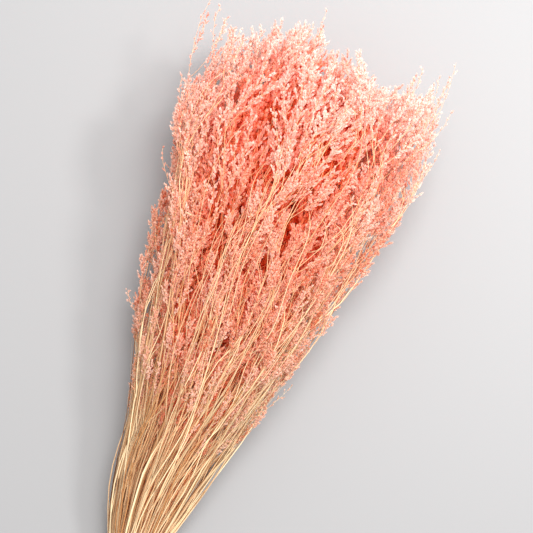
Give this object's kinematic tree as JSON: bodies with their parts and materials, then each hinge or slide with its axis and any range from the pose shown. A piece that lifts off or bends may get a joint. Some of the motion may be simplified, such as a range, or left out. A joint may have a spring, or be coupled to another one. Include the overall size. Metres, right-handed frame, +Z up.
{
  "type": "bundle of dried love grass",
  "caption": "Tied bundle of dried, dyed love grass: fine stems fan out from a twine tie into feathery branched sprays, lying down.",
  "frame": {"origin": "on the table, under the middle of the bundle's bounding box", "axes": "+Y from the cut ends to the flower tips, +Z up from the table, +X to the right seen from above with the tips ahead"},
  "size_m": [0.2434, 0.6297, 0.1436],
  "materials": {
    "dyed_grass": "matte dried grass, straw-coloured at the cut ends and dyed coral pink towards the tips",
    "jute_twine": "matte natural jute twine"
  },
  "bodies": {
    "root": {"grass_stem_01": "dyed_grass", "grass_stem_02": "dyed_grass", "grass_stem_03": "dyed_grass", "grass_stem_04": "dyed_grass", "grass_stem_05": "dyed_grass", "grass_stem_06": "dyed_grass", "grass_stem_07": "dyed_grass", "grass_stem_08": "dyed_grass", "grass_stem_09": "dyed_grass", "grass_stem_10": "dyed_grass", "grass_stem_11": "dyed_grass", "grass_stem_12": "dyed_grass", "grass_stem_13": "dyed_grass", "grass_stem_14": "dyed_grass", "grass_stem_15": "dyed_grass", "grass_stem_16": "dyed_grass", "grass_stem_17": "dyed_grass", "grass_stem_18": "dyed_grass", "grass_stem_19": "dyed_grass", "grass_stem_20": "dyed_grass", "grass_stem_21": "dyed_grass", "grass_stem_22": "dyed_grass", "grass_stem_23": "dyed_grass", "grass_stem_24": "dyed_grass", "grass_stem_25": "dyed_grass", "grass_stem_26": "dyed_grass", "grass_stem_27": "dyed_grass", "grass_stem_28": "dyed_grass", "grass_stem_29": "dyed_grass", "grass_stem_30": "dyed_grass", "grass_stem_31": "dyed_grass", "grass_stem_32": "dyed_grass", "grass_stem_33": "dyed_grass", "grass_stem_34": "dyed_grass", "grass_stem_35": "dyed_grass", "grass_stem_36": "dyed_grass", "grass_stem_37": "dyed_grass", "grass_stem_38": "dyed_grass", "twine_tie": "jute_twine"}
  },
  "joints": []
}
